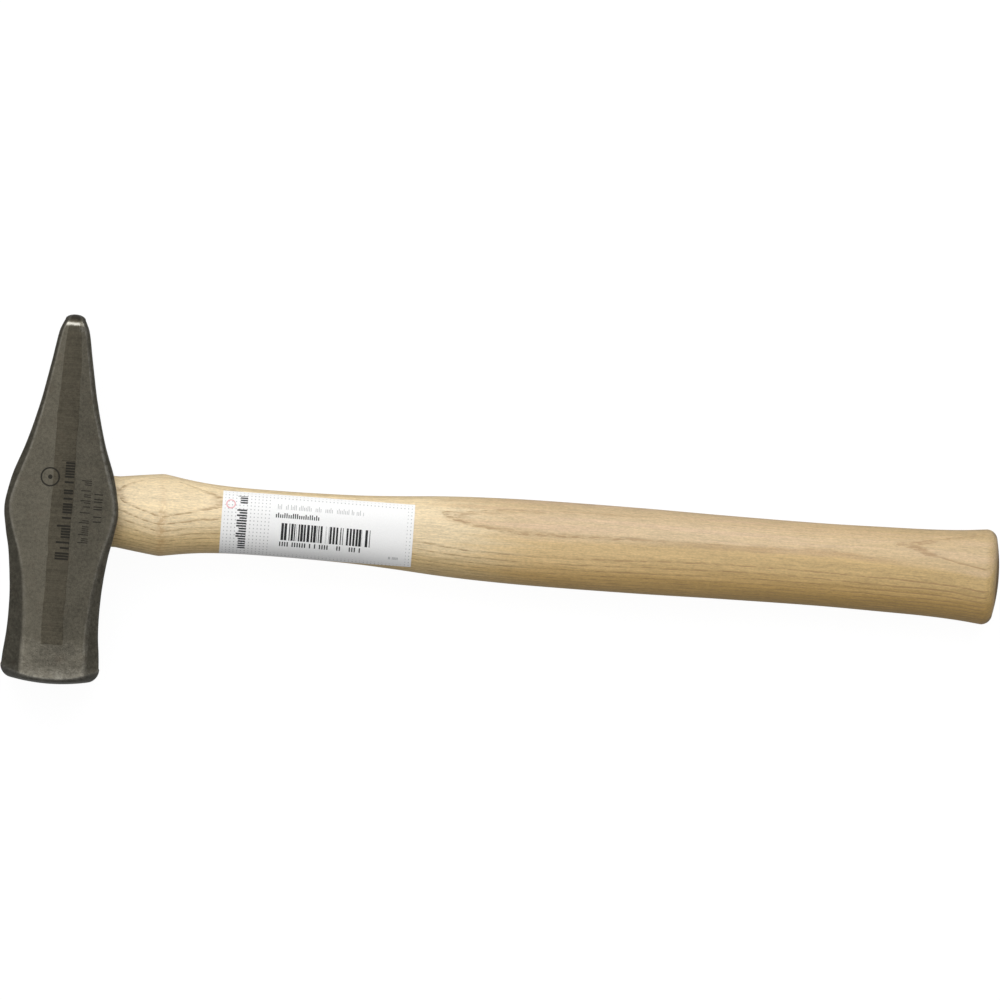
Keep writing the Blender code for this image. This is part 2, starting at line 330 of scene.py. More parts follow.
def quarter_section(y, seed, growing):
    """(stations, points, 2) x and z of a quarter of the head from cheek to flank, what each point
    belongs to, and the middle of the flank.
    """
    poll = smoothstep(BAND_END + 3, BAND_END - 9, y)
    fillet = (FILLET[0] + (FILLET[1] - FILLET[0]) * smoothstep(-45, -12, y))[:, None]
    width = head_half_width(y)
    depth = HEAD_DEPTH / 2 - POLL_STEP * poll
    into_corner = np.clip((y - PEEN_END + PEEN_CORNER) / PEEN_CORNER, 0, 1)
    depth = depth - PEEN_CORNER_DEPTH * (1 - np.sqrt(1 - into_corner**2))
    chamfer = np.minimum(chamfer_leg(y, growing), 0.45 * width)
    on_line = np.stack((y, y * 0, y * 0), axis=1)
    wander = 0.55 * noise_at(on_line, 17, seed) + 0.3 * noise_at(on_line, 5, seed + 4)
    band = np.minimum(BAND_HALF - 0.7 * smoothstep(30, 65, y) + wander, 0.45 * width)
    fall = DRAFT * (1 - poll) * (width - chamfer - band)
    middle = np.stack((0 * width, depth), axis=1)
    band_edge = np.stack((band, depth), axis=1)
    cheek_edge = np.stack((width - chamfer, depth - fall), axis=1)
    flank_edge = np.stack((width, depth - fall - chamfer), axis=1)
    waist = np.stack((width, 0 * depth), axis=1)
    first_b, last_b, upper = rounded(cheek_edge, band_edge, flank_edge, fillet, 8)
    first_c, last_c, lower = rounded(flank_edge, cheek_edge, waist, fillet, 8)
    just_past = band_edge + (first_b - band_edge) * 0.01
    parts = [
        straight(middle, band_edge, 8),
        straight(band_edge, just_past, 1),
        straight(just_past, first_b, 14),
        upper,
        straight(last_b, first_c, 7),
        lower,
        straight(last_c, waist, 16),
    ]
    names = ("band", "band", "cheek", "upper", "chamfer", "lower", "flank")
    labels = [n for n, part in zip(names, parts) for _ in range(part.shape[1])]
    return np.concatenate(parts, axis=1), labels, waist


def full_section(y):
    """(stations, around, 2) x and z round the whole head, and what each column belongs to."""
    out, names = [], []
    for seed, flip in enumerate(((1, 1), (1, -1), (-1, -1), (-1, 1))):
        points, labels, waist = quarter_section(y, seed, flip[0] != flip[1])
        if seed % 2 == 0:
            out += [points * flip, waist[:, None, :] * flip]
            names += labels + ["flank"]
        else:
            out.append(points[:, ::-1] * flip)
            names += labels[::-1]
    return np.concatenate(out, axis=1), names


def head_stations():
    """Places along Y of the rings round the sides, closer together where the shape changes more."""
    tip = PEEN_END - PEEN_ROUND_FROM
    return np.concatenate(
        (
            np.linspace(FACE_RIM + RIM_RADIUS[1] - 0.1, BAND_END - 2.2, 20),
            np.linspace(BAND_END - 2.0, BAND_END + 0.4, 9),
            np.linspace(BAND_END + 0.9, PEEN_END - PEEN_CORNER - 0.5, 230),
            np.linspace(PEEN_END - PEEN_CORNER, PEEN_ROUND_FROM, 14),
            PEEN_ROUND_FROM + tip * np.sin(np.radians(np.linspace(5, 89.7, 26))),
        )
    )


def face_rings():
    """Rings of the crowned face, from its middle out and over the rounded rim, and each point's
    share of the way to the rim.
    """
    rim = full_section(np.array([FACE_RIM]))[0][0]
    half_width = HEAD_OUTLINE[0, 1]
    growth = np.abs(rim[:, 0] / half_width) ** 3
    radius = RIM_RADIUS[0] + (RIM_RADIUS[1] - RIM_RADIUS[0]) * growth
    turned = np.radians(np.linspace(0, 90, RIM_RINGS))
    turned = np.concatenate((np.zeros(FACE_RINGS), turned))[:, None]
    inner = np.concatenate((np.linspace(0.02, 0.97, FACE_RINGS), np.ones(RIM_RINGS)))[:, None]
    shares = inner * (1 - radius / half_width * (1 - np.sin(turned)))
    face = rim[None] * shares[..., None]
    crown = face[..., 0] ** 2 / (2 * CROWN_RADIUS_X) + face[..., 1] ** 2 / (2 * CROWN_RADIUS_Z)
    setback = radius * (1 - np.cos(turned))
    return np.stack((face[..., 0], FACE_END + crown + setback, face[..., 1]), axis=-1), shares


def head_masks(names, shares, y):
    """Where the head is ground, has wear and a painted highlight on its edges, is forged skin or is face:
    the face's rings, then those along y.
    """
    names = np.array(names)
    none, every = np.zeros(shares.shape), np.ones((len(y), 1))
    strip = (y >= BAND_END - 1.0)[:, None] * (names == "band")
    # edges' mask: wear and a painted highlight, stronger towards the bulge and less on the lower fillet
    wear_and_highlight = (0.45 + 0.55 * smoothstep(-32, -6, y))[:, None] * ((names == "upper") + 0.45 * (names == "lower"))
    wear_and_highlight[0] = 0.9
    skin = every * np.isin(names, ("chamfer", "lower", "flank"))
    masks = {
        "ground": (none, strip),
        "edge": (smoothstep(0.99, 1.0, shares), wear_and_highlight),
        "skin": (none, skin),
        "face": (none + 1, 0 * skin),
    }
    return {key: np.concatenate(parts).ravel() for key, parts in masks.items()}


def head_arrays():
    """Points, faces and masks of the head without its eye."""
    y = head_stations()
    section, names = full_section(y)
    along = np.repeat(y[:, None], section.shape[1], axis=1)
    sides = np.stack((section[..., 0], along, section[..., 1]), axis=-1)
    end, shares = face_rings()
    past_rim = end[-1:] + (0, 0.3, 0)
    points, faces = capped(np.concatenate((end, past_rim, sides), axis=0))
    return points, faces, head_masks(names, shares, np.concatenate((past_rim[0, :1, 1], y)))


def eye_size(x):
    """Half-height and half-depth of the eye at a place along X."""
    flare = EYE_FLARE * (np.asarray(x) / EYE_MOUTH) ** 2
    return EYE_HALF_HEIGHT + flare, EYE_HALF_DEPTH + flare


def eye_cutter(sides=160):
    """The eye, with its mouths opened out where they meet the curved flanks."""
    stations = np.linspace(-30, 30, 81)
    height, depth = eye_size(stations)
    rings = ovals(stations, height, depth, EYE_POWER, sides)
    mouth = head_half_width(rings[..., 1]) - EYE_BREAK
    past = np.clip((np.abs(rings[..., 0]) - mouth) / EYE_BREAK, 0, 2)
    mean_half_size = 12
    rings[..., 1:] *= (1 + past * EYE_BREAK / mean_half_size)[..., None]
    return rings


def build_head(surface):
    points, faces, masks = head_arrays()
    head = make_piece("head_forging", points, faces, surface, "forged_steel", masks)
    ripple = 0.05 * (1 + noise_at(points, 11, 2)) + 0.03 * (1 + noise_at(points, 4, 5))
    poll = smoothstep(BAND_END + 1, BAND_END - 5, points[:, 1])
    pits = 0.035 * (1 + noise_at(points, 1.6, 7)) * poll
    beside_band = smoothstep(BAND_HALF - 0.7, BAND_HALF + 3.2, np.abs(points[:, 0]))
    recess(head, (ripple + pits) * np.maximum(beside_band, poll) * (1 - 0.7 * masks["face"]))
    carve(head, make_piece("eye_cutter", *capped(eye_cutter()), None, None))
    head.data.set_sharp_from_angle(angle=math.radians(50))
    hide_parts("head")


# ---- Handle and wedges


def handle_size(x):
    """Half-height and half-depth of the handle at a place along X."""
    return curve_through(HANDLE_OUTLINE, x, 1), curve_through(HANDLE_OUTLINE, x, 2)


def tongue_rings(sides):
    """Rings along the eye, with the tongue's end a little broken."""
    lead = np.array(((0.0, 0.35), (0.12, 0.1), (0.4, 0.0)))  # (distance from the end, inset)
    stations = np.concatenate((TONGUE_END + lead[:, 0], np.linspace(-19, 19.5, 50)))
    inset = np.concatenate((lead[:, 1], np.zeros(50)))
    height, depth = eye_size(stations)
    return ovals(stations, height - FIT - inset, depth - FIT - inset, EYE_POWER, sides)


def butt_rings(sides):
    """Rings over the rounded rim of the butt and its slightly domed end."""
    height, depth = handle_size(HANDLE_OUTLINE[-1, 0])
    turned = np.radians(np.linspace(0, 84, 16))
    inset = BUTT_EDGE * (1 - np.cos(turned))
    x = BUTT_END - BUTT_CROWN - BUTT_EDGE + BUTT_EDGE * np.sin(turned)
    rim = ovals(x, height - inset, depth - inset, HANDLE_POWER, sides)
    share = np.linspace(0.96, 0.02, 24)
    dome = BUTT_END - (BUTT_END - x[-1]) * share**2
    end = ovals(dome, (height - inset[-1]) * share, (depth - inset[-1]) * share, HANDLE_POWER, sides)
    return [rim, end]


def handle_rings(sides=176):
    """Rings from the tongue's end, along the handle and over the rim of the butt."""
    end = BUTT_END - BUTT_CROWN - BUTT_EDGE
    stations = np.concatenate(
        (np.linspace(22.6, 37, 24), np.linspace(37.4, 43.4, 21), np.linspace(44, end - 0.5, 420))
    )
    length = ovals(stations, *handle_size(stations), HANDLE_POWER, sides)
    return np.concatenate([tongue_rings(sides), length] + butt_rings(sides), axis=0)


def wedge_slab(clearance, overshoot):
    """A slab that tapers along X and is wider than the tongue, as a wedge or as a cutter for it."""
    thick, thin = WEDGE_THICKNESS
    growth = (thick - thin) / (WEDGE_END - TONGUE_END) * overshoot
    half_height = EYE_HALF_HEIGHT + 5
    ends = (
        (TONGUE_END - overshoot, thick + growth + 2 * clearance),
        (WEDGE_END + clearance, thin + 2 * clearance),
    )
    corners = np.array([(-1, -1), (1, -1), (1, 1), (-1, 1)])
    rings = [[(x, half_height * y, thickness / 2 * z) for y, z in corners] for x, thickness in ends]
    return capped(np.array(rings))


def turned_ring(profile, sides=128):
    """A closed ring turned about the X axis from (x, radius) points."""
    angle = np.linspace(0, 2 * math.pi, sides, endpoint=False)
    x, radius = np.array(profile).T
    across = np.multiply.outer(np.cos(angle), radius)
    up = np.multiply.outer(np.sin(angle), radius)
    rings = np.stack((np.tile(x, (sides, 1)), across, up), axis=-1)
    faces = [[i % (sides * len(x)) for i in face[::-1]] for face in grid_faces(sides + 1, len(x))]
    return rings.reshape(-1, 3), faces


def ring_pocket():
    """Cutter for the ring wedge's groove, with one side straight and the other tapering inwards."""
    start, end = RING_SPAN[0] - 5, RING_SPAN[1] + FIT
    inner, outer = RING_INNER - FIT, RING_OUTER[0] + 0.36 + FIT
    return turned_ring(((start, inner), (start, outer), (end, RING_OUTER[1] + FIT), (end, inner)))


def build_handle(surface):
    handle = make_piece("hickory_handle", *capped(handle_rings()), surface, "hickory")
    carve(handle, make_piece("kerf_cutter", *wedge_slab(FIT, 5), None, None))
    carve(handle, make_piece("pocket_cutter", *ring_pocket(), None, None))
    handle.data.set_sharp_from_angle(angle=math.radians(50))
    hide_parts("handle")


def build_wooden_wedge(surface):
    wedge = make_piece("kerf_wedge", *wedge_slab(0, -0.15), surface, "wedge_beech")
    stations = np.linspace(TONGUE_END, 20, 40)
    height, depth = eye_size(stations)
    core = capped(ovals(stations, height - FIT, depth - FIT, EYE_POWER, 160))
    carve(wedge, make_piece("tongue_core", *core, None, None), "INTERSECT")
    carve(wedge, make_piece("pocket_cutter", *ring_pocket(), None, None))
    wedge.data.set_sharp_from_angle(angle=math.radians(30))
    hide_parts("wooden_wedge")


def build_ring_wedge(surface):
    start, end = RING_SPAN
    outer, tip = RING_OUTER
    profile = (
        (start + 0.25, RING_INNER),
        (start + 0.07, RING_INNER + 0.07),
        (start, RING_INNER + 0.25),
        (start, outer - 0.3),
        (start + 0.08, outer - 0.08),
        (start + 0.3, outer),
        (end, tip),
        (end, RING_INNER),
    )
    ring = make_piece("ring_wedge_turned", *turned_ring(profile), surface, "wedge_steel")
    ring.data.set_sharp_from_angle(angle=math.radians(50))
    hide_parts("ring_wedge")


# ---- Label


def on_handle(x, y, lift):
    """Points on the handle's upper side, lifted off it along its normal."""
    height, depth = handle_size(x)
    share = np.abs(y) / height
    z = depth * (1 - share**HANDLE_POWER) ** (1 / HANDLE_POWER)
    normal_y = np.sign(y) * share ** (HANDLE_POWER - 1) / height
    normal_z = (z / depth) ** (HANDLE_POWER - 1) / depth
    length = np.hypot(normal_y, normal_z)
    return np.stack((x, y + lift * normal_y / length, z + lift * normal_z / length), axis=-1)


def label_heights(x, count):
    """Places across the label, from its upper to its lower edge, for one place along it."""
    height = float(handle_size(np.array(x))[0])
    bottom = min(-LABEL_BOTTOM, LABEL_WRAP * height)
    turns = np.linspace(math.asin(LABEL_TOP / height), -math.asin(bottom / height), count)
    return height * np.sin(turns)


def label_arc(y):
    """Distance from the label's upper edge, round the paper, of a place that is seen at y."""
    heights = np.linspace(LABEL_TOP, y, 400)
    points = on_handle(np.full(400, 100.0), heights, 0)
    return float(np.linalg.norm(np.diff(points, axis=0), axis=1).sum())


def label_sheet(along, across):
    """(inner and outer points, distance along, distance round the paper) on a grid of the label."""
    inner, outer, u, v = [], [], [], []
    for x in np.linspace(*LABEL_SPAN, along):
        heights = label_heights(x, across)
        at = np.full(across, x)
        inner.append(on_handle(at, heights, LABEL_GAP))
        outer.append(on_handle(at, heights, LABEL_GAP + LABEL_THICKNESS))
        steps = np.linalg.norm(np.diff(inner[-1], axis=0), axis=1)
        u.append(at)
        v.append(np.concatenate(([0], np.cumsum(steps))))
    return np.array(inner), np.array(outer), np.array(u), np.array(v)


def build_label(surface, along=200, across=72):
    inner, outer, u, v = label_sheet(along, across)
    loops = np.concatenate((outer, inner[:, ::-1]), axis=1)
    faces = grid_faces(along, 2 * across)
    for row in (0, along - 1):
        start = row * 2 * across
        for i in range(across - 1):
            near, far = start + i, start + 2 * across - 1 - i
            faces.append([near, near + 1, far - 1, far])
    masks = {"along": u, "across": v}
    masks = {key: np.concatenate((on, on[:, ::-1]), axis=1).ravel() for key, on in masks.items()}
    label = make_piece("paper_label", loops.reshape(-1, 3), faces, surface, "label_paper", masks)
    label.data.set_sharp_from_angle(angle=math.radians(50))
    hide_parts("label")


# ---- Materials


class Surface:
    """A material that is put together from nodes, with places in mm about the eye's centre."""

    def __init__(self, name, **settings):
        self.material = bpy.data.materials.new(name)
        self.material.use_nodes = True
        self.tree = self.material.node_tree
        self.shader = self.tree.nodes["Principled BSDF"]
        for key, value in settings.items():
            self.shader.inputs[key.replace("_", " ")].default_value = value

    def feed(self, socket, value):
        if isinstance(value, bpy.types.NodeSocket):
            self.tree.links.new(value, socket)
        else:
            socket.default_value = value

    def node(self, kind, inputs=(), **settings):
        made = self.tree.nodes.new(kind)
        for key, value in settings.items():
            setattr(made, key, value)
        for key, value in dict(inputs).items():
            self.feed(made.inputs[key], value)
        return made

    def attribute(self, name):
        return self.node("ShaderNodeAttribute", attribute_name=name).outputs["Fac"]

    def place(self):
        """Place in mm about the eye's centre."""
        coordinates = self.node("ShaderNodeTexCoord").outputs["Object"]
        scaled = self.vector("SCALE", coordinates, Scale=1 / MM)
        return self.vector("SUBTRACT", scaled, (0, 0, EYE_HEIGHT))

    def vector(self, operation, a, b=None, **more):
        made = self.node("ShaderNodeVectorMath", operation=operation)
        self.feed(made.inputs[0], a)
        if b is not None:
            self.feed(made.inputs[1], b)
        for key, value in more.items():
            self.feed(made.inputs[key], value)
        return made.outputs["Value" if operation == "LENGTH" else "Vector"]

    def split(self, vector):
        made = self.node("ShaderNodeSeparateXYZ", {0: vector})
        return made.outputs[0], made.outputs[1], made.outputs[2]

    def join(self, x, y, z=0.0):
        return self.node("ShaderNodeCombineXYZ", {0: x, 1: y, 2: z}).outputs[0]

    def math(self, operation, a, b=0.0, c=0.0):
        made = self.node("ShaderNodeMath", {0: a, 1: b, 2: c}, operation=operation)
        return made.outputs[0]

    def plus(self, first, *others):
        for other in others:
            first = self.math("ADD", first, other)
        return first

    def minus(self, a, b):
        return self.math("SUBTRACT", a, b)

    def times(self, first, *others):
        for other in others:
            first = self.math("MULTIPLY", first, other)
        return first

    def grown(self, mask, share):
        """1 where the mask is 0, and 1 plus the share where it is 1."""
        return self.math("MULTIPLY_ADD", mask, share, 1.0)

    def changed(self, value, *changes):
        """The value, with each mask's amount added where the mask is 1."""
        for mask, amount in changes:
            value = self.math("MULTIPLY_ADD", mask, amount, value)
        return value

    def noise(self, vector, scale, detail=2.0, roughness=0.5):
        inputs = {"Vector": vector, "Scale": scale, "Detail": detail, "Roughness": roughness}
        return self.node("ShaderNodeTexNoise", inputs).outputs["Fac"]

    def stretched(self, place, scales, detail=2.0, roughness=0.5):
        """Noise with its own scale along each axis."""
        return self.noise(self.vector("MULTIPLY", place, scales), 1.0, detail, roughness)

    def hashed(self, vector):
        return self.node("ShaderNodeTexWhiteNoise", {"Vector": vector}).outputs["Value"]

    def ramp(self, value, low, high, start=0.0, end=1.0, smooth=True):
        inputs = {"Value": value, "From Min": low, "From Max": high, "To Min": start, "To Max": end}
        kind = "SMOOTHSTEP" if smooth else "LINEAR"
        return self.node("ShaderNodeMapRange", inputs, interpolation_type=kind).outputs["Result"]

    def window(self, value, rise, fall):
        """1 between the end of the rise and the start of the fall, 0 outside them."""
        return self.times(self.ramp(value, *rise), self.ramp(value, fall[1], fall[0]))

    def mix(self, share, a, b):
        made = self.node("ShaderNodeMix", data_type="RGBA")
        colours = [(*value, 1) if isinstance(value, tuple) else value for value in (a, b)]
        for socket, value in ((0, share), (6, colours[0]), (7, colours[1])):
            self.feed(made.inputs[socket], value)
        return made.outputs[2]

    def layered(self, colour, *layers):
        """The colour under layers, each of which is a share and a colour."""
        for share, tone in layers:
            colour = self.mix(share, colour, tone)
        return colour

    def scaled(self, colour, share):
        """A colour times a brightness."""
        return self.vector("SCALE", colour, Scale=share)

    def filtered(self, colour, share, tint):
        """The colour times the tint, by the share."""
        return self.vector("MULTIPLY", colour, self.mix(share, (1.0, 1.0, 1.0), tint))

    def bump(self, height, distance):
        inputs = {"Height": height, "Distance": distance * MM, "Strength": 1.0}
        return self.node("ShaderNodeBump", inputs).outputs["Normal"]

    def box(self, x, y, low, high):
        """1 inside a rectangle, else 0."""
        inside = 1.0
        for value, a, b in ((x, low[0], high[0]), (y, low[1], high[1])):
            within = self.math("COMPARE", value, (a + b) / 2, abs(b - a) / 2)
            inside = self.times(inside, within)
        return inside

    def ring(self, x, y, centre, radius, half_line):
        """1 on a circle's line, else 0."""
        away = self.vector("LENGTH", self.join(self.minus(x, centre[0]), self.minus(y, centre[1])))
        return self.math("COMPARE", away, radius, half_line)

    def strokes(self, along, up, span, heights, pitch, seed, share, width):
        """A row of upright strokes of two heights above a base line, at random along a span."""
        counted = self.math("DIVIDE", along, pitch)
        place = self.math("FLOOR", counted)
        inked = self.math("LESS_THAN", self.hashed(self.join(place, seed)), share)
        tall = self.math("GREATER_THAN", self.hashed(self.join(place, seed + 0.5)), 0.6)
        top = self.math("MULTIPLY_ADD", tall, heights[1] - heights[0], heights[0])
        low, high = span
        return self.times(
            inked,
            self.math("LESS_THAN", up, top),
            self.math("GREATER_THAN", up, 0.0),
            self.math("LESS_THAN", self.math("FRACT", counted), width),
            self.math("COMPARE", along, (low + high) / 2, abs(high - low) / 2),
        )

    def any(self, *masks):
        found = masks[0]
        for mask in masks[1:]:
            found = self.math("MAXIMUM", found, mask)
        return found

    def use(self, **sockets):
        for key, value in sockets.items():
            self.feed(self.shader.inputs[key.replace("_", " ")], value)
        return self.material


def head_marks(s, x, y, z):
    """Three etched rows of plain upright strokes and a ring with a dot, on the upper cheek."""
    upper = s.math("GREATER_THAN", z, HEAD_DEPTH / 2 - 3)
    rows = (  # base line, span, the strokes' two heights, pitch, seed, share, width
        (4.2, (-21.4, 18.9), (3.7, 5.5), 1.1, 3, 0.72, 0.7),
        (11.4, (-13.7, 12.1), (2.7, 4.0), 0.8, 5, 0.6, 0.45),
        (16.2, (-8.2, 6.5), (3.4, 3.4), 1.0, 8, 0.62, 0.42),
    )
    strokes = [s.strokes(y, s.minus(base, x), *row) for base, *row in rows]
    circle = s.ring(x, y, (-5.4, 12.0), 3.6, 0.3)
    dot = s.ring(x, y, (-5.4, 12.0), 0.0, 0.9)
    return s.times(upper, s.any(*strokes, circle, dot))


def steel_poll(s, place, y, skin):
    """1 on the cheek between the ground strip and the face, with a ragged border, else 0."""
    ragged = s.plus(y, s.math("MULTIPLY_ADD", s.noise(place, 0.22, 3.0, 0.6), 8.0, -4.0))
    return s.times(s.ramp(ragged, BAND_END + 1.5, BAND_END - 3.0), s.minus(1.0, skin))


def peen_highlight_and_wear(s, place, x, y):
    """1 on the painted highlight across the peen's rounded end and on the spots of wear beside it, else 0.
    """
    ragged = s.plus(y, s.math("MULTIPLY_ADD", s.noise(place, 0.5, 3.0, 0.7), 2.0, -1.0))
    aside = s.math("ABSOLUTE", s.plus(x, 0.7))
    # painted highlight where the peen's end rounds over
    peen_highlight = s.times(s.window(ragged, (72.8, 73.5), (74.2, 74.8)), s.ramp(aside, 3.1, 2.3))
    pitted = s.ramp(s.noise(place, 1.1, 3.0, 0.7), 0.4, 0.62, 0.0, 0.4)
    beside = s.times(s.window(y, (69.5, 71.0), (73.6, 74.4)), s.ramp(x, 1.4, 2.2), pitted)
    return s.any(peen_highlight, beside)


def steel_wear_and_highlight(s, place, x, y, edge):
    """Wear of the edges with a painted highlight on them, patchy, and stronger on the handle's side and
    between bulge and peen.
    """
    wear = s.ramp(s.noise(place, 0.28, 4.0, 0.7), 0.34, 0.62)
    # weaker on the left: part wear, part painted highlight
    wear_and_highlight = s.times(edge, s.math("MULTIPLY_ADD", wear, 0.6, 0.2), s.ramp(x, -4.0, 4.0, 0.55, 1.0))
    # painted highlight on the handle's side between bulge and peen
    bright = s.times(s.window(y, (2.0, 10.0), (28.0, 40.0)), s.ramp(x, 4.0, 8.0))
    return s.times(wear_and_highlight, s.grown(bright, 0.7))


def steel_shade(s, place, poll, skin, ground, mottle, grain, lines):
    """Brightness of the steel: patchy scale, grinding across the strip, the poll's middle darker and lighter
    towards the peen, with painted light on the left side and painted shade on the right.
    """
    x, y, _ = s.split(place)
    speckle = s.ramp(s.noise(place, 0.55, 3.0, 0.7), 0.4, 0.6, -0.12, 0.13)
    scale = s.ramp(s.noise(place, 0.2, 4.0, 0.7), 0.4, 0.64, -0.11, 0.12)
    bands = s.ramp(s.stretched(place, (0.02, 0.42, 0.1), 2.0, 0.5), 0.3, 0.7, -0.07, 0.07)
    middle = s.ramp(s.math("ABSOLUTE", x), 8.0, 2.0, 0.0, -0.08)
    return s.plus(
        s.ramp(s.noise(place, 0.09, 3.0, 0.6), 0.3, 0.7, 0.92, 1.08),
        s.ramp(mottle, 0.3, 0.7, -0.15, 0.15),
        s.ramp(grain, 0.3, 0.7, -0.1, 0.1),
        # painted light on the poll's left and painted shade on its right
        s.times(poll, s.plus(speckle, middle, s.ramp(x, -10.0, 10.0, 0.1, -0.07))),
        # painted shade over the right of the head, off the poll
        s.times(s.minus(1.0, poll), s.ramp(x, -3.0, 6.0, 0.0, -0.14)),
        # painted light on the left chamfer
        s.times(skin, s.plus(scale, s.ramp(x, -6.0, -12.0, 0.0, 0.08))),
        s.times(ground, s.plus(s.ramp(lines, 0.25, 0.75, -0.17, 0.17), bands)),
        s.ramp(y, 48.0, 62.0, 0.0, 0.08),
    )


def forged_steel():
    s = Surface("forged_steel_skin", Metallic=0.9, Specular_IOR_Level=0.5)
    place = s.place()
    x, y, z = s.split(place)
    ground, edge = s.attribute("ground"), s.attribute("edge")
    skin, face = s.attribute("skin"), s.attribute("face")
    mottle, grain = s.noise(place, 0.8, 4.0, 0.68), s.noise(place, 3.2, 2.0, 0.6)
    lines = s.stretched(place, (0.05, 3.4, 0.4), 3.0, 0.75)
    poll = steel_poll(s, place, y, skin)
    # painted highlight on the peen's end, and spots of wear beside it
    tip = peen_highlight_and_wear(s, place, x, y)
    wear_and_highlight = steel_wear_and_highlight(s, place, x, y, edge)
    mark = head_marks(s, x, y, z)
    warm = s.ramp(s.noise(place, 0.16, 3.0, 0.6), 0.55, 0.75)

    colour = s.layered(
        s.mix(poll, (0.111, 0.101, 0.077), (0.133, 0.122, 0.096)),
        (ground, (0.077, 0.068, 0.049)),
        (skin, (0.117, 0.108, 0.083)),
        (face, (0.13, 0.124, 0.106)),
        # lighter edges: wear and painted highlight
        (wear_and_highlight, (0.22, 0.209, 0.178)),
        # the peen's painted highlight and spots of wear
        (tip, (0.25, 0.241, 0.212)),
    )
    colour = s.scaled(colour, steel_shade(s, place, poll, skin, ground, mottle, grain, lines))
    colour = s.layered(
        colour, (s.times(warm, 0.3), (0.102, 0.081, 0.06)), (s.times(mark, 0.88), (0.02, 0.019, 0.016))
    )
    roughness = s.math("MULTIPLY_ADD", mottle, 0.22, 0.3)
    roughness = s.changed(roughness, (poll, 0.1), (mark, 0.15), (wear_and_highlight, -0.08), (tip, -0.17))
    height = s.times(mottle, s.math("MULTIPLY_ADD", poll, 0.1, 0.035))
    height = s.changed(height, (grain, 0.014), (s.times(lines, ground), 0.03), (mark, -0.02))
    return s.use(Base_Color=colour, Roughness=roughness, Normal=s.bump(height, 1.0))


def wood_depth(s, place):
    """Depth in mm across the growth rings, which turn a little about the handle towards the butt."""
    moved = place
    for size, reach in (((0.012, 0.05, 0.05), 1.5), ((0.12, 0.4, 0.4), 0.45)):
        inputs = {"Vector": s.vector("MULTIPLY", place, size), "Scale": 1.0, "Detail": 2.0}
        wander = s.node("ShaderNodeTexNoise", inputs).outputs["Color"]
        wander = s.vector("SUBTRACT", wander, (0.5, 0.5, 0.5))
        moved = s.vector("ADD", moved, s.vector("MULTIPLY", wander, (0, reach, reach)))
    x, y, z = s.split(moved)
    turn = s.ramp(x, 60, 165, math.radians(24), math.radians(20.5), smooth=False)
    turn = s.plus(turn, s.ramp(x, 170, 290, 0.0, math.radians(6)))
    sine, cosine = s.math("SINE", turn), s.math("COSINE", turn)
    normal = s.plus(s.times(y, sine), s.times(z, cosine))
    side = s.minus(s.times(y, cosine), s.times(z, sine))
    bow = s.times(side, side, 1 / RING_BOW)
    return s.plus(normal, bow), moved


def past_ring(s, x, y, depth):
    """Distance in mm outwards from the nearest ring boundary further in, or a large one if none.

    It is stretched at the butt, where the rings' lines are thinner.
    """
    inner = s.minus(depth, RINGS[0])
    counted = s.times(s.math("FRACT", s.math("DIVIDE", inner, RING_SPACING)), RING_SPACING)
    past = s.math("MULTIPLY_ADD", s.math("GREATER_THAN", inner, 0.0), FAR, counted)
    for boundary, start, end in zip(RINGS, RING_STARTS, RING_STARTS[1:]):
        beyond = s.minus(depth, boundary)
        inside = s.math("LESS_THAN", beyond, 0.0)
        elsewhere = s.minus(1.0, s.math("COMPARE", x, (start + end) / 2, (end - start) / 2))
        missing = s.any(inside, elsewhere)
        past = s.math("MINIMUM", past, s.math("MULTIPLY_ADD", missing, FAR, beyond))
    thinner = s.times(s.ramp(x, 312, 326), s.ramp(y, -2.5, 0.5))
    return s.times(past, s.grown(thinner, 0.6))


def growth_lines(s, place, depth, early, dashes):
    """Strength of the dotted dark lines of early wood, which fade in places and darken at the butt."""
    x, y, _ = s.split(place)
    fading = s.ramp(depth, RINGS[1] - 0.1, RINGS[1], 0.0, 0.9)
    fading = s.times(s.window(x, (225, 255), (318, 326)), fading)
    line = s.times(early, s.math("MULTIPLY_ADD", dashes, 0.72, 0.28))
    line = s.times(line, s.minus(s.ramp(y, 10.0, 14.0, 1.0, 0.4), fading))
    line = s.times(s.math("MAXIMUM", line, 0.0), s.ramp(x, BUTT_END - 3.5, BUTT_END - 6.5))
    tip = s.times(s.window(x, (322, 328), (338, 349)), s.ramp(y, 3.5, 6.5))
    line = s.times(line, s.ramp(x, 320, 335, 1.0, 2.5), s.grown(tip, -0.72))
    return s.math("MINIMUM", line, 1.0)


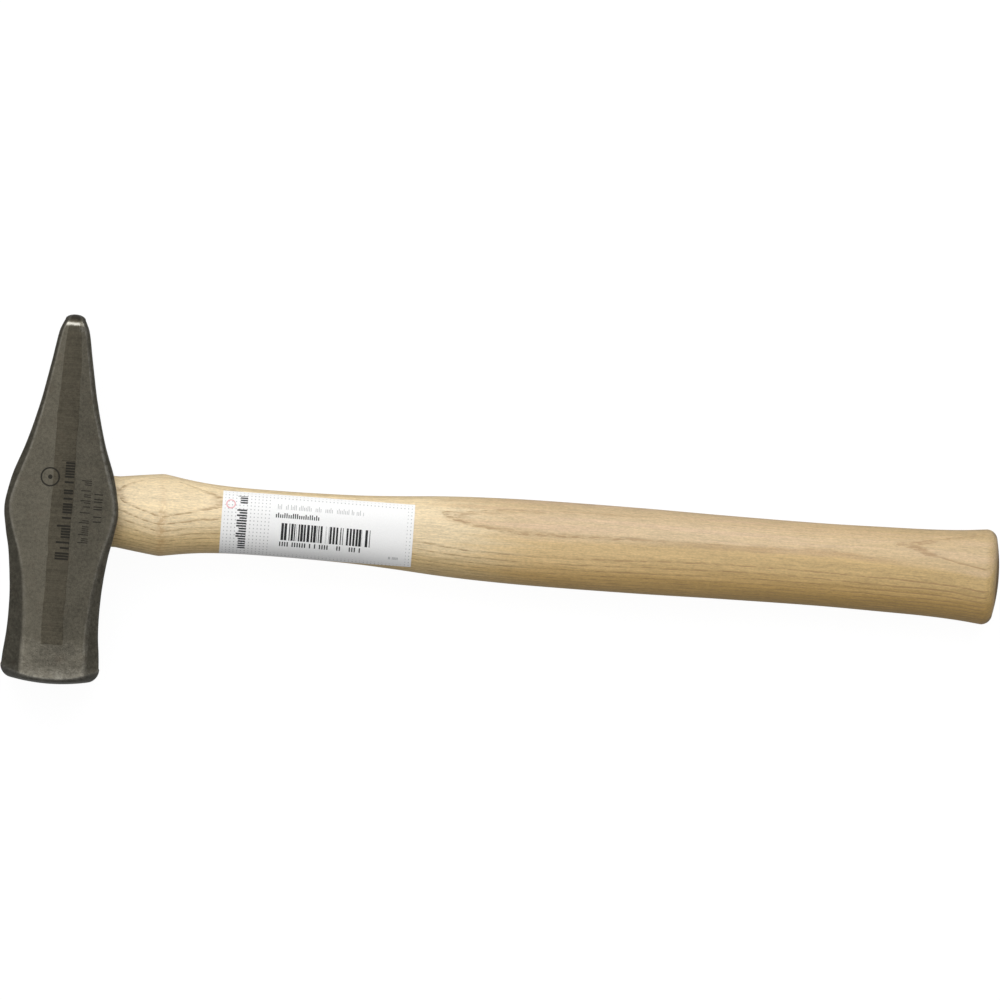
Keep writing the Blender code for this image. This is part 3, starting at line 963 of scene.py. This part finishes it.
def wood_tones(s, place, depth, fibre, streak):
    """Pale sapwood at the collar, tan heartwood further on, and pinker wood in the outer ring and along the
    upper side.
    """
    x, y, _ = s.split(place)
    heart = s.ramp(s.plus(x, s.math("MULTIPLY_ADD", streak, 70.0, -35.0)), 145.0, 200.0)
    outer = s.any(s.ramp(depth, RINGS[1] - 0.9, RINGS[1] + 0.4), s.ramp(y, 6.0, 10.0))
    outer = s.times(outer, heart, s.ramp(x, 250, 330, 1.0, 0.6))
    stain = s.times(
        s.window(depth, (RINGS[1] - 0.8, RINGS[1] - 0.3), (RINGS[1], RINGS[1] + 0.35)),
        s.window(x, (225, 265), (320, 345)),
        s.ramp(y, 9.0, 7.5),
        s.ramp(fibre, 0.35, 0.6, 0.4, 1.0),
    )
    pink = s.times(outer, s.ramp(streak, 0.46, 0.62))
    deep = s.ramp(s.plus(depth, s.math("MULTIPLY_ADD", streak, 4.0, -2.0)), RINGS[0] - 0.3, 4.5)
    colour = s.mix(heart, (0.77, 0.62, 0.39), (0.615, 0.44, 0.213))
    colour = s.filtered(colour, s.ramp(x, 200, 350), (0.9, 0.88, 0.8))
    colour = s.layered(
        colour,
        (outer, (0.615, 0.46, 0.268)),
        (s.times(stain, 0.85), (0.44, 0.29, 0.135)),
        (s.times(pink, 0.7), (0.58, 0.415, 0.26)),
    )
    return s.filtered(colour, deep, (0.82, 0.75, 0.58))


def wood_shade(s, place, fibre, streak):
    """Brightness of the wood: fibres and flecks, slow changes along and across the handle, painted light on
    the lower side and painted shade on the upper side towards the butt.
    """
    x, y, _ = s.split(place)
    fleck = s.stretched(place, (0.45, 1.6, 1.6), 3.0, 0.6)
    grit = s.stretched(place, (0.9, 2.0, 2.0), 1.0, 0.5)
    return s.plus(
        s.ramp(fibre, 0.3, 0.7, 0.88, 1.1),
        s.ramp(fleck, 0.3, 0.7, -0.07, 0.07),
        s.ramp(grit, 0.3, 0.7, -0.065, 0.065),
        s.ramp(streak, 0.35, 0.65, -0.05, 0.05),
        s.times(s.ramp(x, 75.0, 55.0), s.window(y, (-3.0, 1.5), (2.5, 7.0)), 0.1),
        # painted light on the lower side
        s.ramp(y, -4.0, -11.0, 0.0, 0.07),
        # painted shade on the upper side from x 130 on
        s.times(s.ramp(y, 4.0, 10.0, 0.0, -0.05), s.ramp(x, 130, 165)),
        s.times(s.ramp(x, 325, 350, 0.0, -0.05), s.ramp(y, -9.0, -5.0)),
    )


def end_grain(s, place, early):
    """Colour of the wood where it is cut across: open pores and growth rings."""
    pipes = s.ramp(s.noise(place, 2.0, 3.0, 0.75), 0.4, 0.6)
    annual = s.ramp(s.noise(place, 0.9, 2.0, 0.6), 0.35, 0.6, 0.35, 0.95)
    colour = s.mix(pipes, (0.1, 0.062, 0.028), (0.23, 0.15, 0.07))
    return s.mix(s.times(early, annual), colour, (0.08, 0.045, 0.018))


def collar_line_and_rim_shade(s, place):
    """(brown line round the collar's crest, stronger on the lower side; painted shade on the sides of the
    butt's rim) masks.
    """
    x, y, z = s.split(place)
    ridge = s.times(
        s.window(x, (RIDGE_AT - 2.8, RIDGE_AT - 0.2), (RIDGE_AT + 0.2, RIDGE_AT + 2.8)),
        s.ramp(y, 8.0, -4.0, 0.35, 1.0),
        s.ramp(s.noise(place, 0.6, 3.0, 0.65), 0.36, 0.6),
    )
    # painted shade along the rim's sides where they turn away at the outline
    rim = s.times(
        s.ramp(s.math("ABSOLUTE", z), 7.0, 3.0),
        s.ramp(x, BUTT_END - 5.0, BUTT_END - 2.5),
        s.ramp(s.math("ABSOLUTE", y), 9.0, 13.5),
    )
    return ridge, rim


def hickory():
    s = Surface("hickory_lacquered", Specular_IOR_Level=0.4, Coat_Weight=0.12, Coat_Roughness=0.35)
    place = s.place()
    x, y, _ = s.split(place)
    depth, moved = wood_depth(s, place)
    early = s.window(past_ring(s, x, y, depth), (0.0, 0.06), (0.1, 0.55))
    fibre = s.stretched(moved, (0.07, 1.9, 1.9), 4.0, 0.75)
    streak = s.stretched(moved, (0.0112, 0.36, 0.36), 3.0, 0.6)
    dashes = s.ramp(s.stretched(moved, (0.24, 1.3, 1.3), 2.0, 0.6), 0.44, 0.58)
    pores = s.ramp(s.stretched(moved, (0.15, 2.1, 2.1), 2.0, 0.6), 0.59, 0.67)
    pores = s.times(pores, s.math("MULTIPLY_ADD", early, 0.6, 0.4))
    line = growth_lines(s, place, depth, early, dashes)
    cut = s.any(s.ramp(x, BUTT_END - 1.5, BUTT_END - 0.9), s.ramp(x, TONGUE_END + 0.5, TONGUE_END))
    ridge, rim = collar_line_and_rim_shade(s, place)

    colour = wood_tones(s, place, depth, fibre, streak)
    colour = s.layered(
        s.scaled(colour, wood_shade(s, place, fibre, streak)),
        (s.times(line, 0.8), (0.36, 0.225, 0.1)),
        (s.times(pores, 0.42), (0.27, 0.165, 0.07)),
        (s.times(ridge, 0.55), (0.5, 0.3, 0.13)),
        (s.times(cut, 0.9), end_grain(s, place, early)),
        # painted shade on the sides of the butt's rim
        (s.times(rim, 0.7), (0.13, 0.085, 0.038)),
    )
    roughness = s.changed(s.ramp(fibre, 0.3, 0.7, 0.42, 0.55), (pores, 0.15), (cut, 0.4))
    height = s.changed(0.0, (fibre, 0.012), (s.any(pores, line), -0.03))
    return s.use(Base_Color=colour, Roughness=roughness, Normal=s.bump(height, 1.0))


def wedge_beech():
    s = Surface("wedge_beech_sawn", Specular_IOR_Level=0.35)
    place = s.place()
    fibre = s.stretched(place, (0.3, 2.5, 5.0), 4.0, 0.7)
    fleck = s.stretched(place, (1.2, 1.2, 4.0), 3.0)
    colour = s.mix(s.ramp(fibre, 0.35, 0.65), (0.3, 0.17, 0.08), (0.48, 0.3, 0.155))
    colour = s.mix(s.ramp(fleck, 0.6, 0.75, 0.0, 0.6), colour, (0.17, 0.09, 0.04))
    roughness = s.ramp(fibre, 0.3, 0.7, 0.6, 0.8)
    return s.use(Base_Color=colour, Roughness=roughness, Normal=s.bump(fibre, 0.05))


def wedge_steel():
    s = Surface("wedge_steel_turned", Metallic=1.0)
    place = s.place()
    x, y, z = s.split(place)
    radius = s.vector("LENGTH", s.join(y, z))
    turned = s.noise(s.join(s.times(x, 4.0), s.times(radius, 9.0)), 1.0, 2.0)
    stain = s.noise(place, 0.5, 4.0, 0.65)
    colour = s.mix(s.ramp(stain, 0.35, 0.7), (0.5, 0.49, 0.46), (0.27, 0.24, 0.2))
    colour = s.scaled(colour, s.ramp(turned, 0.3, 0.7, 0.88, 1.1))
    roughness = s.ramp(stain, 0.3, 0.7, 0.28, 0.5)
    return s.use(Base_Color=colour, Roughness=roughness, Normal=s.bump(turned, 0.03))


def label_dots(s, u, v):
    """A screen of small dots in a border round the label's printed field."""
    height = label_arc(-13.0)
    across = s.minus(s.math("FRACT", s.math("DIVIDE", u, DOT_PITCH)), 0.5)
    down = s.minus(s.math("FRACT", s.math("DIVIDE", v, DOT_PITCH)), 0.5)
    dots = s.math("LESS_THAN", s.vector("LENGTH", s.join(across, down)), 0.17)
    inner = s.box(u, v, (84.5, 2.9), (LABEL_SPAN[1] - 2.6, height - 3.2))
    margin = s.box(u, v, (65.2, 0.8), (LABEL_SPAN[1] - 0.9, height - 0.6))
    return s.times(dots, s.minus(1.0, inner), margin)


def label_print(s, u, v):
    """(dark, mid, dots, red) masks of the label's plain strokes, bars, dots and ring."""
    row = label_arc

    def line(span, base, heights, *pattern):
        return s.strokes(u, s.minus(row(base), v), span, heights, *pattern)

    bar_height = row(-6.4) - row(0.4)
    bars = line((88.4, 124.2), -6.4, (bar_height, bar_height), 0.42, 12, 0.64, 1.0)
    bars = s.times(bars, s.math("LESS_THAN", s.math("FRACT", s.math("DIVIDE", u, 1.3)), 0.8))
    down = (row(9.9), row(-11.6))
    column = s.strokes(v, s.minus(74.3, u), down, (2.9, 4.0), 1.05, 21, 0.9, 0.66)
    bold = line((85.8, 103.6), 2.4, (1.4, 2.0), 0.85, 13, 0.9, 0.55)
    digits = line((85.8, 121.0), -8.8, (2.0, 2.0), 1.0, 14, 0.72, 0.5)
    thin = line((85.8, 121.0), 5.8, (1.5, 2.2), 0.66, 15, 0.8, 0.42)
    code = line((131.8, 136.0), -10.2, (1.2, 1.2), 0.5, 16, 0.8, 0.6)
    red = s.ring(u, v, (67.6, row(6.6)), 1.7, 0.24)
    return s.any(column, bars, bold, digits), s.any(thin, code), label_dots(s, u, v), red


def label_paper():
    s = Surface("label_paper_printed", Specular_IOR_Level=0.25)
    u, v = s.attribute("along"), s.attribute("across")
    pulp = s.noise(s.place(), 2.2, 4.0, 0.65)
    dark, mid, dots, red = label_print(s, u, v)
    colour = s.layered(
        s.mix(s.ramp(pulp, 0.3, 0.7), (0.84, 0.84, 0.835), (0.89, 0.89, 0.885)),
        (s.times(dots, 0.7), (0.3, 0.3, 0.31)),
        (s.times(red, 0.75), (0.72, 0.24, 0.26)),
        (s.times(mid, 0.62), (0.16, 0.16, 0.17)),
        (dark, (0.024, 0.024, 0.026)),
    )
    roughness = s.ramp(pulp, 0.3, 0.7, 0.42, 0.55)
    return s.use(Base_Color=colour, Roughness=roughness, Normal=s.bump(pulp, 0.012))


# ---- Stage


def floor_paper():
    s = Surface("floor_paper", Roughness=0.9, Specular_IOR_Level=0.1)
    s.shader.inputs["Emission Color"].default_value = (1, 1, 1, 1)
    s.shader.inputs["Emission Strength"].default_value = 0.95
    tone = s.ramp(s.noise(s.place(), 0.02, 3.0), 0.3, 0.7, 0.085, 0.095)
    return s.use(Base_Color=s.scaled((1.0, 1.0, 1.0), tone))


def build_floor(surface, steps=41):
    """A large pale floor that touches the cheek's edge and the butt, as the hammer really lies."""
    share = np.linspace(-1, 1, steps)
    reach = np.sign(share) * np.abs(share) ** 3 * FLOOR_REACH
    x, y = np.meshgrid(FLOOR_MIDDLE + reach, reach, indexing="ij")
    z = FLOOR_SLOPE * (np.clip(x, *SLOPING_SPAN) - BAND_HALF) - EYE_HEIGHT - FLOOR_GAP
    points = np.stack((x, y, z), axis=-1).reshape(-1, 3)
    floor = make_piece("floor", points, grid_faces(steps, steps, closed=False), None, None)
    floor.data.materials.append(surface)
    floor.visible_diffuse = False
    floor.visible_glossy = False


def build_light():
    """A soft studio: pale all round, a light overhead, a softbox beyond the peen and a side light."""
    world = bpy.data.worlds.new("studio")
    bpy.context.scene.world = world
    world.use_nodes = True
    tree = world.node_tree
    background = tree.nodes["Background"]
    where = tree.nodes.new("ShaderNodeTexCoord").outputs["Generated"]

    def lamp(direction, far, near, low, high):
        """Radiance that rises from low to high as a ray turns from far to near the direction."""
        facing = tree.nodes.new("ShaderNodeVectorMath")
        facing.operation = "DOT_PRODUCT"
        tree.links.new(where, facing.inputs[0])
        facing.inputs[1].default_value = Vector(direction).normalized()
        made = tree.nodes.new("ShaderNodeMapRange")
        made.interpolation_type = "SMOOTHSTEP"
        tree.links.new(facing.outputs["Value"], made.inputs["Value"])
        limits = (math.cos(math.radians(far)), math.cos(math.radians(near)), low, high)
        for key, value in zip(("From Min", "From Max", "To Min", "To Max"), limits):
            made.inputs[key].default_value = value
        return made.outputs["Result"]

    def total(a, b):
        made = tree.nodes.new("ShaderNodeMath")
        tree.links.new(a, made.inputs[0])
        tree.links.new(b, made.inputs[1])
        return made.outputs[0]

    overhead = lamp((-0.45, 0.15, 1), 50, 6, 0.31, 1.0)
    softbox = lamp((-0.05, 1, 1), 38, 14, 0.0, 2.9)
    side = lamp((1, 0.3, 0.1), 50, 15, 0.0, 0.22)
    light = total(total(overhead, softbox), side)
    path = tree.nodes.new("ShaderNodeLightPath").outputs["Is Camera Ray"]
    seen = tree.nodes.new("ShaderNodeMix")
    tree.links.new(path, seen.inputs[0])
    tree.links.new(light, seen.inputs[2])
    seen.inputs[3].default_value = 1.0
    tree.links.new(seen.outputs[0], background.inputs["Strength"])
    background.inputs["Color"].default_value = (1, 1, 1, 1)


def build_camera():
    """Straight down on the floor, turned so that the handle runs a little down to the right."""
    camera = bpy.data.objects.new("camera", bpy.data.cameras.new("camera"))
    bpy.context.scene.collection.objects.link(camera)
    camera.data.lens = FOCAL_LENGTH
    camera.data.sensor_width = SENSOR_WIDTH
    camera.data.clip_end = 20
    lean = math.atan(FLOOR_SLOPE)
    away = VIEW_WIDTH * FOCAL_LENGTH / SENSOR_WIDTH
    offset = Vector((-math.sin(lean), 0, math.cos(lean))) * away
    camera.location = (Vector((*VIEW_MIDDLE, EYE_HEIGHT)) + offset) * MM
    turn = Matrix.Rotation(-lean, 4, "Y") @ Matrix.Rotation(math.radians(VIEW_TURN), 4, "Z")
    camera.rotation_euler = turn.to_euler()
    bpy.context.scene.camera = camera


build_head(forged_steel())
build_handle(hickory())
build_wooden_wedge(wedge_beech())
build_ring_wedge(wedge_steel())
build_label(label_paper())
build_floor(floor_paper())
build_light()
build_camera()
bpy.context.scene.view_settings.view_transform = "Standard"
